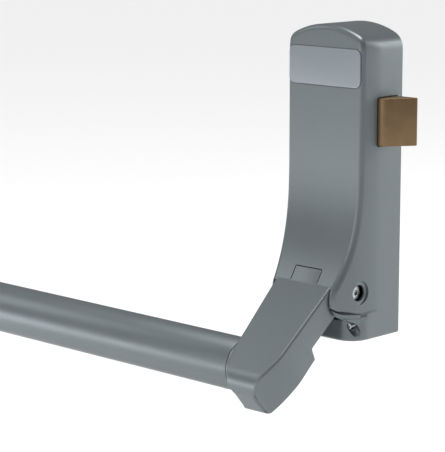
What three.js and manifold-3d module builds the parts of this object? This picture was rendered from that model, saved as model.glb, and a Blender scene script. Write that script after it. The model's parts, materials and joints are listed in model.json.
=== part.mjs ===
// A panic exit bar for the inside of a door, in millimetres: a latch case at the door's free edge, an idle
// case at the hinge side, and a round push bar carried between them on two swinging arms.
// X runs along the bar toward the free edge, Y points into the door and Z is up. The origin lies on the
// door's face behind the latch case, at the height of the arms' pivot. "Out" is the distance from the door.
import * as THREE from "three";
import { mergeVertices } from "three/addons/utils/BufferGeometryUtils.js";
import Module from "manifold-3d";

const wasm = await Module();
wasm.setup();

// Overall sizes.
const caseSpacing = 600; // between the middles of the two cases
const caseWidth = 54;
const caseBottom = -26;
const latchCaseTop = 139;
const idleCaseTop = 66;
const caseDepth = 31; // out to the flat front
const caseWall = 2.5;
const gap = 0.3; // between pieces that touch

// The cases' arched top, their nose around the pivot and the toe under it.
const crownRise = 13;
const shoulderRadius = 9;
const noseCentre = [36.6, -2];
const noseRadius = 11.8;
const noseTopAngle = 28;
const noseLowAngle = -68;
const flareTop = 70;
const taperStart = 27;
const noseNarrowing = 5.3; // of each side from the taper's start to the nose's front
const toeFront = 36.9;
const toeRadius = 12;

// The arms' pivot, the arms and the bar.
const pivotOut = 31;
const pinRadius = 4;
const bushWall = 1.8;
const runningClearance = 0.12;
const hubRadius = 12;
const hubClearance = 0.4; // round the hub's bosses in the arm
const pocketClearance = 0.5; // round the return spring's pocket
const hubFoot = -62; // where the neck's back meets the hub, in degrees
const hubHalfWidth = caseWidth / 2 - 8.4;
const springPocket = [-12, 1.4]; // along X, between the hub's two bosses
const returnWire = 1.6;
const returnTurns = 5;
const returnSlack = 1.8; // between the pivot pin and the inside of the return spring
const armRoot = [47.5, 3.5]; // where the arm's front face leaves the case
const armAngle = -41.8; // of the front face below the horizontal
const armRootHalfWidth = caseWidth / 2 - 7.7;
const armTaper = 0.06; // narrowing of each side for each mm of length
const armNarrowStart = 44; // from here the sides draw in faster, by a power of the length
const armNarrowRate = 0.0516;
const armNarrowPower = 1.5;
const armLength = 67.5;
const armEndRoll = 10; // radius from the front face over the end
const neckThickness = 15.3;
const headThickness = 23.6;
const headStart = 29.3;
const headStepHalf = 1.2; // half the length over which the neck steps down to the head
const headBackRise = 2.4; // of the head's back where it starts, above its back at the end
const armHeelRadius = 2;
const armCornerCut = 2; // of the end's two corners, seen from the front
const slotClearance = 0.6;
const slotDrop = 2.4; // of the slot's floor in the toe, below the hub, for the neck at full swing
const windowHalfWidth = 9.5;
const windowHeight = 8.5;
const barDiameter = 28.6;
const barWall = 1.5;
const barAlongArm = 46.8;
const barInset = barDiameter / 2 + 0.5; // of the bar's axis behind the arm's front face
const landStep = 1.2; // how far the arm's round land stands out of its side
const spigotLength = 26;
const tongueThickness = 2.4;
const barScrewRadius = 2;
const barScrewLength = 8;
const barScrewBite = 6; // of the screw's tip beyond the bar's inside

// The latch work: a lever on the latch arm lifts a rod, the rod turns a crank and the crank draws the bolt.
const swing = 18; // degrees
const leverLength = 21;
const leverRadius = 3.2;
const leverX = [3.4, 9.4];
const leverRootExtra = 0.6; // of the lever's half-width at the hub over its tip radius
const rodWidth = 5;
const rodThickness = 3;
const rodPadThickness = 3;
const rodFootHeight = 4;
const guideHeight = 6;
const guideHalfWidth = 6;
const guideFront = 3; // of the rod guides in front of the rod
const guideClearance = 0.35;
const lowerGuideBottom = 14;
const upperGuideBottom = 44;
const crankPivot = [-3.8, 69.5];
const crankOut = [10, 13];
const crankTurn = 37; // degrees
const crankShort = 10.4;
const crankTipRadius = 2.6;
const crankHeight = 19.5; // of the bolt's drive pin above the crank's pivot
const crankHubRadius = 6;
const forkHalfWidth = 4.6;
const forkRise = 2.6; // of the fork's tips above the drive pin
const forkDepth = 3; // of the fork's slot below the drive pin
const forkCorner = 1.2;
const crankArmInset = 0.8; // of the short arm's half-width within its tip radius
const crankCollar = 2; // of the pin's collar and clip over the pin's radius
const crankEndPlay = 0.4;
const crankClipThickness = 0.8;
const crankPinEnd = 2; // of the pin past the crank's front
const crankPinRadius = 3;
const drivePinRadius = 2;
const boltCentre = 89;
const boltHeight = 25;
const boltOut = [3.5, 19.5];
const boltBack = caseWidth / 2 - 13;
const boltTip = caseWidth / 2 + 13.6;
const boltNose = caseWidth / 2 + 6.4;
const boltNoseRadius = 6;
const boltTipFlat = 1.6;
const boltTailBack = -9.5;
const boltTailOut = 9.2;
const boltTailReach = [-8, 3.2]; // of the tail below and above the bolt's middle
const boltGuideRim = 3.5;
const boltGuideThickness = 4;
const boltGuideFront = 3;
const boltClearance = 0.5;
const boltSpringRadius = 3.1;
const boltSpringWire = 0.9;
const boltSpringHeight = 98;
const boltSpringTurns = 8;
const anchorThickness = 3;
const anchorReach = [-4.5, 5]; // below and above the spring's axis, and out from it
const anchorPinRadius = 1.5;
const anchorPinEnd = -3; // X of the end of the pin inside the spring

// Plates, brackets and screws.
const plateThickness = 2.5;
const earThickness = 2;
const earRadius = pinRadius + 4.2;
const doorScrewRadius = 2.6;
const doorScrewInset = 8; // of the door screws' middles from the plate's edges at the side and the top
const doorScrewRise = 10; // of the lower door screws above the case's foot
const plateInset = caseWall + 0.6;
const pinEndPlay = 0.4; // of the pivot pin past the bracket's ears
const pivotHoleRadius = pinRadius + 0.4;
const spotRadius = 6.4; // of the flat around the pivot's hole in each cheek
const spotDepth = 1.5; // from the case's side in to that flat
const pivotScrewHead = 1.6;
const pivotSocketRadius = 1.7;
const pivotSocketDepth = 1;
const toeScrewTurn = 40; // degrees round the toe's corner from the case's side
const toeScrewHeight = -19.8;
const toeScrewSlant = 41; // degrees below the horizontal, in the plane of X and Z
const toeScrewHead = 2.3;
const toeScrewShank = 1.5;
const toeScrewSink = 1.6; // of the head's top below the toe's face, along the screw
const toeScrewHeadLength = 2.4;
const toeScrewLength = 9;
const toeSocketRadius = 1.1;
const toeSocketDepth = 1.2;
const toeMouth = 12; // of the screw's hole outside the toe
const lugInner = 12; // X of the lug's inner side
const badgeHalfWidth = caseWidth / 2 - 2.5;
const badgeBottom = latchCaseTop - 32;
const badgeHeight = 20;
const badgeCorner = 3.5;
const badgeRecess = 0.6;
const badgeProud = 0.3;

const roundSteps = 32;
const coilSteps = 10; // for each turn of a coil
const overrun = 1; // of a cut past the face it cuts
const farAway = 90; // a reach past the whole section of the part, for cuts and trims
const degree = Math.PI / 180;

const finishes = {
  paint: { color: 0x7d8588, roughness: 0.42, metalness: 0.35 },
  bronze: { color: 0x8a6f52, roughness: 0.38, metalness: 0.9 },
  zinc: { color: 0xb9bec2, roughness: 0.35, metalness: 0.9 },
  steel: { color: 0x8e9498, roughness: 0.4, metalness: 0.9 },
  spring: { color: 0x6d7174, roughness: 0.35, metalness: 0.9 },
  nylon: { color: 0xe6e4dc, roughness: 0.55, metalness: 0 },
  badge: { color: 0x99a3ac, roughness: 0.35, metalness: 0.6 },
};

// A closed geometry as a solid that can be joined and cut.
function solidOf(geometry) {
  const bare = geometry.index ? geometry.toNonIndexed() : geometry.clone();
  bare.deleteAttribute("normal");
  bare.deleteAttribute("uv");
  const merged = mergeVertices(bare, 1e-4);
  return new wasm.Manifold(
    new wasm.Mesh({
      numProp: 3,
      vertProperties: merged.attributes.position.array,
      triVerts: new Uint32Array(merged.index.array),
    }),
  );
}

function geometryOf(solid) {
  const mesh = solid.getMesh();
  const geometry = new THREE.BufferGeometry();
  const places = new Float32Array(mesh.numVert * 3);
  for (let i = 0; i < mesh.numVert; i++) {
    const first = i * mesh.numProp;
    places.set(mesh.vertProperties.subarray(first, first + 3), i * 3);
  }
  geometry.setAttribute("position", new THREE.BufferAttribute(places, 3));
  geometry.setIndex(new THREE.BufferAttribute(mesh.triVerts, 1));
  return geometry;
}

function meshOf(name, solid, finish) {
  const mesh = new THREE.Mesh(
    geometryOf(solid),
    new THREE.MeshStandardMaterial({ ...finishes[finish], flatShading: true }),
  );
  mesh.name = name;
  return mesh;
}

// A shape's prism: its two shape axes and its depth run along the given world axes.
function prism(points, low, high, across, up, along) {
  const shape = new THREE.Shape(points.map(([a, b]) => new THREE.Vector2(a, b)));
  const geometry = new THREE.ExtrudeGeometry(shape, {
    depth: high - low,
    bevelEnabled: false,
    curveSegments: 1,
  });
  geometry.translate(0, 0, low);
  geometry.applyMatrix4(new THREE.Matrix4().makeBasis(across, up, along));
  return solidOf(geometry);
}

const axisX = new THREE.Vector3(1, 0, 0);
const axisZ = new THREE.Vector3(0, 0, 1);
const outward = new THREE.Vector3(0, -1, 0);

// From a side view of (out, Z) points, between two places along X.
function sidePrism(points, low, high) {
  return prism(points, -high, -low, outward, axisZ, axisX.clone().negate());
}

// From a front view of (X, Z) points, between two distances out.
function frontPrism(points, low, high) {
  return prism(points, low, high, axisX, axisZ, outward);
}

// From a plan of (X, out) points, between two heights.
function planPrism(points, low, high) {
  const turned = points.map(([x, out]) => [x, -out]);
  return prism(turned, low, high, axisX, outward.clone().negate(), axisZ);
}

function box(x, out, z) {
  const points = [
    [x[0], z[0]],
    [x[1], z[0]],
    [x[1], z[1]],
    [x[0], z[1]],
  ];
  return frontPrism(points, out[0], out[1]);
}

// A ring of points on an arc, angles in degrees.
function arc(centre, radius, from, to, steps) {
  const points = [];
  for (let i = 0; i <= steps; i++) {
    const angle = (from + ((to - from) * i) / steps) * degree;
    const x = centre[0] + radius * Math.cos(angle);
    points.push([x, centre[1] + radius * Math.sin(angle)]);
  }
  return points;
}

function disc(centre, radius, steps = roundSteps) {
  return arc(centre, radius, 0, 360, steps).slice(0, -1);
}

// A cylinder along X about a point of the side view.
function barAlongX(out, z, radius, low, high) {
  return sidePrism(disc([out, z], radius), low, high);
}

// A cylinder from one point to another along a direction, both in X, Y and Z.
function rodAlong(start, direction, length, radius, endRadius = radius) {
  const geometry = new THREE.CylinderGeometry(endRadius, radius, length, 16);
  geometry.translate(0, length / 2, 0);
  const turn = new THREE.Quaternion().setFromUnitVectors(
    new THREE.Vector3(0, 1, 0),
    direction,
  );
  geometry.applyQuaternion(turn);
  geometry.translate(start.x, start.y, start.z);
  return solidOf(geometry);
}

// The front outline of a case: straight sides, rounded shoulders and a shallow crown, inset all round.
function archOutline(top, inset) {
  const halfWidth = caseWidth / 2 - inset;
  const radius = Math.max(shoulderRadius - inset, 1);
  const shoulder = top - crownRise;
  const side = halfWidth - radius;
  const rise = crownRise - inset - radius;
  const drop = (side * side - rise * rise) / (2 * rise);
  const meeting = Math.atan2(drop, side) / degree;
  const crown = drop + rise + radius;
  return [
    [-halfWidth, caseBottom + inset],
    [halfWidth, caseBottom + inset],
    ...arc([side, shoulder], radius, 0, meeting, 6),
    ...arc([0, shoulder - drop], crown, meeting, 180 - meeting, 16).slice(1, -1),
    ...arc([-side, shoulder], radius, 180 - meeting, 180, 6),
  ];
}

// The nose's underside: its height at a distance out, on the line that touches the nose's low end.
function undersideAt(out, inset) {
  const angle = noseLowAngle * degree;
  const reach = noseRadius - inset;
  const touch = [noseCentre[0] + reach * Math.cos(angle), noseCentre[1] + reach * Math.sin(angle)];
  return touch[1] + (touch[0] - out) / Math.tan(angle);
}

// The front of a case in side view, from the underside round the nose and up the flare, moved in by an inset.
function frontCurve(top, inset, back) {
  const nose = arc(noseCentre, noseRadius - inset, noseLowAngle, noseTopAngle, 12);
  const [flareOut, flareBottom] = nose[nose.length - 1];
  const points = [[back, undersideAt(back, inset)], ...nose];
  const steps = 10;
  for (let i = 1; i <= steps; i++) {
    const height = flareBottom + ((flareTop - flareBottom) * i) / steps;
    points.push([flareAt(height, inset), height]);
  }
  const over = Math.max(top, flareTop) + farAway;
  points.push([caseDepth - inset, over], [back, over]);
  return points;
}

// How far out the flared front lies at a height above the nose.
function flareAt(height, inset) {
  const angle = noseTopAngle * degree;
  const reach = noseRadius - inset;
  const bottom = noseCentre[1] + reach * Math.sin(angle);
  const share = Math.max(0, (flareTop - height) / (flareTop - bottom));
  const flat = caseDepth - inset;
  return flat + (noseCentre[0] + reach * Math.cos(angle) - flat) * share ** 3;
}

// The plan of a case: straight sides that draw in toward the nose.
function taperPlan(inset, back) {
  const half = caseWidth / 2 - inset;
  const tip = half - noseNarrowing;
  const front = noseCentre[0] + noseRadius;
  return [
    [-half, back],
    [half, back],
    [half, taperStart],
    [tip, front],
    [tip, front + farAway],
    [-tip, front + farAway],
    [-tip, front],
    [-half, taperStart],
  ];
}

// The toe's plan: straight sides and round front corners.
function toePlan(inset, back) {
  const half = caseWidth / 2 - inset;
  const front = toeFront - inset;
  const radius = toeRadius - inset;
  return [
    [half, back],
    ...arc([half - radius, front - radius], radius, 0, 90, 8),
    ...arc([radius - half, front - radius], radius, 90, 180, 8),
    [-half, back],
  ];
}

// A case's full outer or inner shape, back to the given distance from the door.
function caseForm(top, inset, back) {
  const toeTop = -noseRadius;
  return frontPrism(archOutline(top, inset), back, farAway)
    .intersect(sidePrism(frontCurve(top, inset, back), -caseWidth, caseWidth))
    .intersect(planPrism(taperPlan(inset, back), caseBottom - overrun, top + overrun))
    .add(planPrism(toePlan(inset, back), caseBottom + inset, toeTop));
}

// Where a toe screw's axis meets the toe's round corner.
function toeScrewPoint(side) {
  const turn = toeScrewTurn * degree;
  const x = caseWidth / 2 - toeRadius + toeRadius * Math.cos(turn);
  const out = toeFront - toeRadius + toeRadius * Math.sin(turn);
  return new THREE.Vector3(side * x, -out, toeScrewHeight);
}

function toeScrewAxis(side) {
  const slant = toeScrewSlant * degree;
  return new THREE.Vector3(side * Math.cos(slant), 0, -Math.sin(slant));
}

// A toe screw's round head and shank, its axis leaving the origin, grown by a clearance.
function toeScrewForm(side, grow, mouth) {
  const axis = toeScrewAxis(side);
  const at = (distance) => new THREE.Vector3().addScaledVector(axis, distance);
  const neck = -toeScrewSink - toeScrewHeadLength - grow;
  const headLength = toeScrewHeadLength + grow + mouth;
  const shankLength = toeScrewLength + neck + grow + gap;
  return rodAlong(at(neck), axis, headLength, toeScrewHead + grow).add(
    rodAlong(at(-toeScrewLength - grow), axis, shankLength, toeScrewShank + grow),
  );
}

function toeScrewHole(side) {
  const place = toeScrewPoint(side);
  return toeScrewForm(side, gap, toeMouth).translate([place.x, place.y, place.z]);
}

function toeScrewSolid(side) {
  const axis = toeScrewAxis(side);
  const recess = new THREE.Vector3().addScaledVector(axis, -toeScrewSink - toeSocketDepth);
  return toeScrewForm(side, 0, 0).subtract(rodAlong(recess, axis, toeMouth, toeSocketRadius));
}

// The cast cover of a case: a shell open to the door, cut for the arm, its pivot and its screws.
function coverSolid(top) {
  const slotHalf = armRootHalfWidth + slotClearance;
  const lip = armRoot[1];
  const floor = -hubRadius - slotClearance - slotDrop;
  const clearOfToe = toeFront + gap;
  const slot = [
    [pivotOut, lip],
    [farAway, lip],
    [farAway, caseBottom],
    [clearOfToe, caseBottom],
    [clearOfToe, floor],
    [pivotOut, floor],
  ];
  const window = [
    [pivotOut, lip - overrun],
    [farAway, lip - overrun],
    [farAway, lip + windowHeight],
    [pivotOut, lip + windowHeight],
  ];
  const half = caseWidth / 2;
  let cover = caseForm(top, 0, 0)
    .subtract(caseForm(top, caseWall, -overrun))
    .subtract(sidePrism(slot, -slotHalf, slotHalf))
    .subtract(sidePrism(window, -windowHalfWidth, windowHalfWidth))
    .subtract(barAlongX(pivotOut, 0, pivotHoleRadius, -caseWidth, caseWidth));
  for (const side of [-1, 1]) {
    const spot = [side * (half - spotDepth), side * caseWidth].sort((a, b) => a - b);
    cover = cover
      .subtract(barAlongX(pivotOut, 0, spotRadius, spot[0], spot[1]))
      .subtract(toeScrewHole(side));
  }
  return cover;
}

// A rounded rectangle in front view.
function roundedRectangle(x, z, radius) {
  return [
    ...arc([x[1] - radius, z[0] + radius], radius, -90, 0, 5),
    ...arc([x[1] - radius, z[1] - radius], radius, 0, 90, 5),
    ...arc([x[0] + radius, z[1] - radius], radius, 90, 180, 5),
    ...arc([x[0] + radius, z[0] + radius], radius, 180, 270, 5),
  ];
}

// The steel plate that is screwed to the door inside a case.
function backplateSolid(top) {
  let plate = frontPrism(archOutline(top, plateInset), 0, plateThickness);
  const screwX = caseWidth / 2 - plateInset - doorScrewInset;
  const depth = [-overrun, plateThickness + overrun];
  for (const side of [-1, 1]) {
    for (const z of [caseBottom + doorScrewRise, top - crownRise - doorScrewInset]) {
      const hole = frontPrism(disc([side * screwX, z], doorScrewRadius), depth[0], depth[1]);
      plate = plate.subtract(hole);
    }
  }
  return plate;
}

// The U-shaped bracket whose ears carry the pivot pin.
function bracketSolid() {
  const inner = hubHalfWidth + gap;
  const outer = inner + earThickness;
  const base = plateThickness + gap;
  const ear = [
    [base, -earRadius],
    [pivotOut, -earRadius],
    ...arc([pivotOut, 0], earRadius, -90, 90, 14).slice(1, -1),
    [pivotOut, earRadius],
    [base, earRadius],
  ];
  return box([-outer, outer], [base, base + earThickness], [-earRadius, earRadius])
    .add(sidePrism(ear, -outer, -inner))
    .add(sidePrism(ear, inner, outer))
    .subtract(barAlongX(pivotOut, 0, pinRadius + runningClearance, -farAway, farAway));
}

function pivotPinSolid() {
  const end = hubHalfWidth + gap + earThickness + pinEndPlay;
  return barAlongX(pivotOut, 0, pinRadius, -end, end);
}

// A button-head screw that closes one end of the pivot pin, its axis along X.
function pivotScrewSolid() {
  const start = hubHalfWidth + earThickness + pinEndPlay + 2 * gap;
  const end = start + pivotScrewHead;
  const head = barAlongX(pivotOut, 0, pivotHoleRadius - gap, start, end);
  const hexagon = disc([pivotOut, 0], pivotSocketRadius, 6);
  return head.subtract(sidePrism(hexagon, end - pivotSocketDepth, end + overrun));
}

// A coil of round wire about X, between two places along it.
function coilSolid(out, z, radius, wire, low, high, turns, stepsPerTurn) {
  const points = [];
  const steps = turns * stepsPerTurn;
  for (let i = 0; i <= steps; i++) {
    const angle = (2 * Math.PI * i) / stepsPerTurn;
    const x = low + wire / 2 + ((high - low - wire) * i) / steps;
    const y = -out - radius * Math.cos(angle);
    points.push(new THREE.Vector3(x, y, z + radius * Math.sin(angle)));
  }
  const section = new THREE.Shape(
    disc([0, 0], wire / 2, 6).map(([a, b]) => new THREE.Vector2(a, b)),
  );
  const geometry = new THREE.ExtrudeGeometry(section, {
    steps,
    bevelEnabled: false,
    extrudePath: new THREE.CatmullRomCurve3(points),
  });
  return solidOf(geometry);
}

// Directions along the arm's front face and out of it, in side view.
const alongArm = [Math.cos(armAngle * degree), Math.sin(armAngle * degree)];
const offArm = [-alongArm[1], alongArm[0]];

// A point of the side view at a length along the arm and a height off its front face.
function armPoint(length, height) {
  return [
    armRoot[0] + alongArm[0] * length + offArm[0] * height,
    armRoot[1] + alongArm[1] * length + offArm[1] * height,
  ];
}

const barCentre = armPoint(barAlongArm, -barInset);

// The arm's side view: a hub about the pivot, a neck, a deeper head and an end that rolls over.
function armProfile() {
  const heelMiddle = [armLength - armHeelRadius, armHeelRadius - headThickness];
  const end = arc([armLength - armEndRoll, -armEndRoll], armEndRoll, 90, 0, 8);
  const heel = arc(heelMiddle, armHeelRadius, 0, -90, 4);
  const back = [
    [headStart + 2 * headStepHalf, headBackRise - headThickness],
    [headStart + headStepHalf / 2, 1.6 * headBackRise - headThickness],
    [headStart, -neckThickness - headBackRise / 2],
    [headStart - headStepHalf, -neckThickness],
    [hubRadius / 2, -neckThickness],
  ];
  const hubTop = Math.asin(armRoot[1] / hubRadius) / degree;
  return [
    ...[...end, ...heel, ...back].map(([a, b]) => armPoint(a, b)),
    ...arc([pivotOut, 0], hubRadius, hubFoot, hubTop - 360, 20),
    armRoot,
  ];
}

// Half the arm's width at a length: a straight taper, then sides that draw in faster.
function armHalfWidth(length) {
  const narrow = Math.max(0, length - armNarrowStart) ** armNarrowPower;
  return armRootHalfWidth - armTaper * length - armNarrowRate * narrow;
}

// The arm's face: its right side from the root to the end, then its left side back.
function armFace() {
  const start = -farAway;
  const side = [[armHalfWidth(start), start]];
  const steps = 8;
  for (let i = 0; i <= steps; i++) {
    const length = armNarrowStart + ((armLength - armCornerCut - armNarrowStart) * i) / steps;
    side.push([armHalfWidth(length), length]);
  }
  side.push([armHalfWidth(armLength) - armCornerCut, armLength + 0.1]);
  const left = side.map(([x, length]) => [-x, length]).reverse();
  return [...left, ...side].reverse();
}

// The tongue that stands up from the arm's root into the window of the case's lip, flush with the flare.
function tongueSolid() {
  const half = windowHalfWidth - slotClearance;
  const top = armRoot[1] + windowHeight - slotClearance;
  const points = [armPoint(0.6, 0), armRoot];
  const steps = 4;
  for (let i = 1; i <= steps; i++) {
    const height = armRoot[1] + ((top - armRoot[1]) * i) / steps;
    points.push([flareAt(height, 0), height]);
  }
  const tip = points[points.length - 1];
  points.push(
    [tip[0] - tongueThickness, top - 0.6],
    [armRoot[0] - tongueThickness - 0.8, armRoot[1] - 2],
    armPoint(2, -3),
  );
  return sidePrism(points, -half, half);
}

// An arm, with its spigot for the bar on one side: -1 toward -X, 1 toward +X.
function armSolid(side) {
  const face = new THREE.Vector3(0, -alongArm[0], alongArm[1]);
  const normal = new THREE.Vector3(0, -offArm[0], offArm[1]);
  const root = new THREE.Vector3(0, -armRoot[0], armRoot[1]);
  const faceShape = new THREE.Shape(armFace().map(([a, b]) => new THREE.Vector2(a, b)));
  const geometry = new THREE.ExtrudeGeometry(faceShape, {
    depth: 2 * farAway,
    bevelEnabled: false,
  });
  geometry.translate(0, 0, -farAway);
  geometry.applyMatrix4(new THREE.Matrix4().makeBasis(axisX.clone().negate(), face, normal));
  geometry.translate(root.x, root.y, root.z);
  const spigotEnd = landHalfWidth + spigotLength;
  const spigotRadius = barDiameter / 2 - barWall - gap;
  const land = side < 0 ? [-landHalfWidth, 0] : [0, landHalfWidth];
  const spigot = side < 0 ? [-spigotEnd, 0] : [0, spigotEnd];
  const bushRadius = pinRadius + runningClearance + bushWall + gap;
  let arm = sidePrism(armProfile(), -caseWidth, caseWidth)
    .intersect(solidOf(geometry))
    .add(barAlongX(barCentre[0], barCentre[1], barDiameter / 2, land[0], land[1]))
    .add(barAlongX(barCentre[0], barCentre[1], spigotRadius, spigot[0], spigot[1]))
    .add(tongueSolid());
  for (const end of [-1, 1]) {
    const ends = [end * hubHalfWidth, end * caseWidth].sort((a, b) => a - b);
    arm = arm.subtract(barAlongX(pivotOut, 0, hubRadius + hubClearance, ends[0], ends[1]));
  }
  const pocket = side < 0 ? springPocket : [-springPocket[1], -springPocket[0]];
  return arm
    .subtract(barAlongX(pivotOut, 0, hubRadius + pocketClearance, pocket[0], pocket[1]))
    .subtract(barAlongX(pivotOut, 0, bushRadius, -caseWidth, caseWidth));
}

const landHalfWidth = armHalfWidth(barAlongArm) + landStep;

// The lever behind the latch arm's hub that lifts the rod, at rest half its swing below the horizontal.
const leverTip = [
  pivotOut - leverLength * Math.cos((swing / 2) * degree),
  -leverLength * Math.sin((swing / 2) * degree),
];

function leverSolid() {
  const lean = (180 + swing / 2) * degree;
  const across = [-Math.sin(lean), Math.cos(lean)];
  const wide = leverRadius + leverRootExtra;
  const web = [
    [pivotOut + across[0] * wide, across[1] * wide],
    [leverTip[0] + across[0] * leverRadius, leverTip[1] + across[1] * leverRadius],
    [leverTip[0] - across[0] * leverRadius, leverTip[1] - across[1] * leverRadius],
    [pivotOut - across[0] * wide, -across[1] * wide],
  ];
  const bushRadius = pinRadius + runningClearance + bushWall + gap;
  return sidePrism(web, leverX[0], leverX[1])
    .add(sidePrism(disc(leverTip, leverRadius, 20), leverX[0], leverX[1]))
    .subtract(barAlongX(pivotOut, 0, bushRadius, -caseWidth, caseWidth));
}

function bushSolid(low, high) {
  const outer = pinRadius + runningClearance + bushWall;
  return barAlongX(pivotOut, 0, outer, low, high).subtract(
    barAlongX(pivotOut, 0, pinRadius + runningClearance, low - overrun, high + overrun),
  );
}

// The screw that holds the bar on a spigot stands at the bar's underside.
function barScrewPlace(side) {
  return side * (landHalfWidth + spigotLength / 2);
}

function barSolid() {
  const low = -caseSpacing + landHalfWidth + gap;
  const high = -landHalfWidth - gap;
  const [out, z] = barCentre;
  let bar = barAlongX(out, z, barDiameter / 2, low, high).subtract(
    barAlongX(out, z, barDiameter / 2 - barWall, low - overrun, high + overrun),
  );
  for (const x of [barScrewPlace(-1), -caseSpacing + barScrewPlace(1)]) {
    const start = new THREE.Vector3(x, -out, z - barDiameter);
    bar = bar.subtract(rodAlong(start, axisZ, barDiameter, barScrewRadius + gap));
  }
  return bar;
}

// The height of the screw's tip below the bar's axis.
const barScrewTip = barDiameter / 2 - barWall - barScrewBite;

// A headless screw from below through the bar into a spigot.
function barScrewSolid() {
  const top = new THREE.Vector3(0, 0, -barScrewTip);
  return rodAlong(top, axisZ.clone().negate(), barScrewLength, barScrewRadius);
}

// The lug on the backplate that takes one of the cover's toe screws: it fills the toe's corner.
function lugSolid(side) {
  const inset = caseWall + gap;
  const x = [side * lugInner, side * caseWidth].sort((a, b) => a - b);
  const z = [caseBottom + inset, -hubRadius - overrun];
  return box(x, [plateThickness + gap, toeFront], z)
    .intersect(planPrism(toePlan(inset, 0), z[0] - overrun, z[1] + overrun))
    .subtract(toeScrewHole(side));
}

// The bolt: a bevelled nose, a body that slides in its guide and a thin tail with the drive pin.
const boltLow = boltCentre - boltHeight / 2;
const boltHigh = boltCentre + boltHeight / 2;
const drivePin = [
  crankPivot[0] + crankHeight * Math.tan((crankTurn / 2) * degree),
  crankPivot[1] + crankHeight,
];

function boltSolid() {
  const [back, front] = boltOut;
  const plan = [
    [boltBack, back],
    [boltTip, back],
    [boltTip, back + boltTipFlat],
    ...arc([boltNose - boltNoseRadius, front - boltNoseRadius], boltNoseRadius, 30, 90, 8),
    [boltBack, front],
  ];
  const tail = [boltTailBack, boltBack + overrun];
  const tailHeight = boltTailReach.map((reach) => boltCentre + reach);
  const pin = disc(drivePin, drivePinRadius);
  return planPrism(plan, boltLow, boltHigh)
    .add(box(tail, [back, boltTailOut], tailHeight))
    .add(frontPrism(pin, boltTailOut - overrun, crankOut[1] + overrun));
}

// The opening for the bolt in the cover's side, from just off the door to just past the bolt's front.
function boltOpening() {
  const [back, front] = boltOut;
  return box(
    [0, caseWidth],
    [back - boltClearance, front + boltClearance],
    [boltLow - boltClearance, boltHigh + boltClearance],
  );
}

function boltGuideSolid() {
  const wall = caseWidth / 2 - caseWall - gap;
  const inner = wall - boltGuideThickness;
  const depth = [plateThickness + gap, boltOut[1] + boltGuideFront];
  const height = [boltLow - boltGuideRim, boltHigh + boltGuideRim];
  const hole = box(
    [inner - overrun, wall + overrun],
    [boltOut[0] - boltClearance / 2, boltOut[1] + boltClearance / 2],
    [boltLow - boltClearance / 2, boltHigh + boltClearance / 2],
  );
  return box([inner, wall], depth, height).subtract(hole);
}

// The crank in its middle position: a short arm along X, a fork along Z that holds the drive pin.
function crankSolid() {
  const [x, z] = crankPivot;
  const slot = drivePinRadius + guideClearance;
  const [low, high] = crankOut;
  const cut = [low - overrun, high + overrun];
  const fork = roundedRectangle([-forkHalfWidth, forkHalfWidth], [0, crankHeight + forkRise], forkCorner);
  const shortHalf = crankTipRadius - crankArmInset;
  const middle = frontPrism(disc([0, 0], crankHubRadius), low, high)
    .add(frontPrism(fork, low, high))
    .add(box([0, crankShort], crankOut, [-shortHalf, shortHalf]))
    .add(frontPrism(disc([crankShort, 0], crankTipRadius), low, high))
    .subtract(frontPrism(disc([0, 0], crankPinRadius + runningClearance), cut[0], cut[1]))
    .subtract(box([-slot, slot], cut, [crankHeight - forkDepth, farAway]));
  const geometry = geometryOf(middle);
  geometry.rotateY((crankTurn / 2) * degree);
  geometry.translate(x, 0, z);
  return solidOf(geometry);
}

function crankPinSolid() {
  const [low, high] = [plateThickness + gap, crankOut[1] + crankPinEnd];
  const collar = disc(crankPivot, crankPinRadius + crankCollar);
  return frontPrism(disc(crankPivot, crankPinRadius), low, high).add(
    frontPrism(collar, low, crankOut[0] - crankEndPlay),
  );
}

function crankClipSolid() {
  const low = crankOut[1] + crankEndPlay;
  const high = low + crankClipThickness;
  const hole = disc(crankPivot, crankPinRadius + runningClearance);
  return frontPrism(disc(crankPivot, crankPinRadius + crankCollar), low, high).subtract(
    frontPrism(hole, low - overrun, high + overrun),
  );
}

// The lift rod: a foot over the lever's tip, a strip and a pad under the crank's short arm.
const rodX = crankPivot[0] + crankShort * Math.cos((crankTurn / 4) * degree);
const rodOut = leverTip[0];
const rodFoot = leverTip[1] + leverRadius + gap;
const rodHead =
  crankPivot[1] - crankShort * Math.sin((crankTurn / 2) * degree) - crankTipRadius - gap;

function rodSolid() {
  const strip = [rodX - rodThickness / 2, rodX + rodThickness / 2];
  const depth = [rodOut - rodWidth / 2, rodOut + rodWidth / 2];
  return box(strip, depth, [rodFoot + 2, rodHead])
    .add(box(leverX, [rodOut - 3, rodOut + 0.8], [rodFoot, rodFoot + rodFootHeight]))
    .add(box([rodX - 2, rodX + 3], depth, [rodHead - rodPadThickness, rodHead]));
}

function rodGuideSolid(bottom) {
  const halfX = rodThickness / 2 + guideClearance;
  const halfOut = rodWidth / 2 + guideClearance;
  const depth = [plateThickness + gap, rodOut + rodWidth / 2 + guideFront];
  const top = bottom + guideHeight;
  const hole = box(
    [rodX - halfX, rodX + halfX],
    [rodOut - halfOut, rodOut + halfOut],
    [bottom - overrun, top + overrun],
  );
  return box([rodX - guideHalfWidth, rodX + guideHalfWidth], depth, [bottom, top]).subtract(hole);
}

// The bolt's spring lies over its tail, on a pin that stands out of an anchor by the far wall.
const springOut = 11.5;
const anchorFoot = -caseWidth / 2 + caseWall + gap;
const anchorX = [anchorFoot, anchorFoot + anchorThickness];

function springAnchorSolid() {
  const z = anchorReach.map((reach) => boltSpringHeight + reach);
  const pin = barAlongX(springOut, boltSpringHeight, anchorPinRadius, anchorX[0] + overrun, anchorPinEnd);
  return box(anchorX, [plateThickness + gap, springOut + anchorReach[1]], z).add(pin);
}

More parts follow.
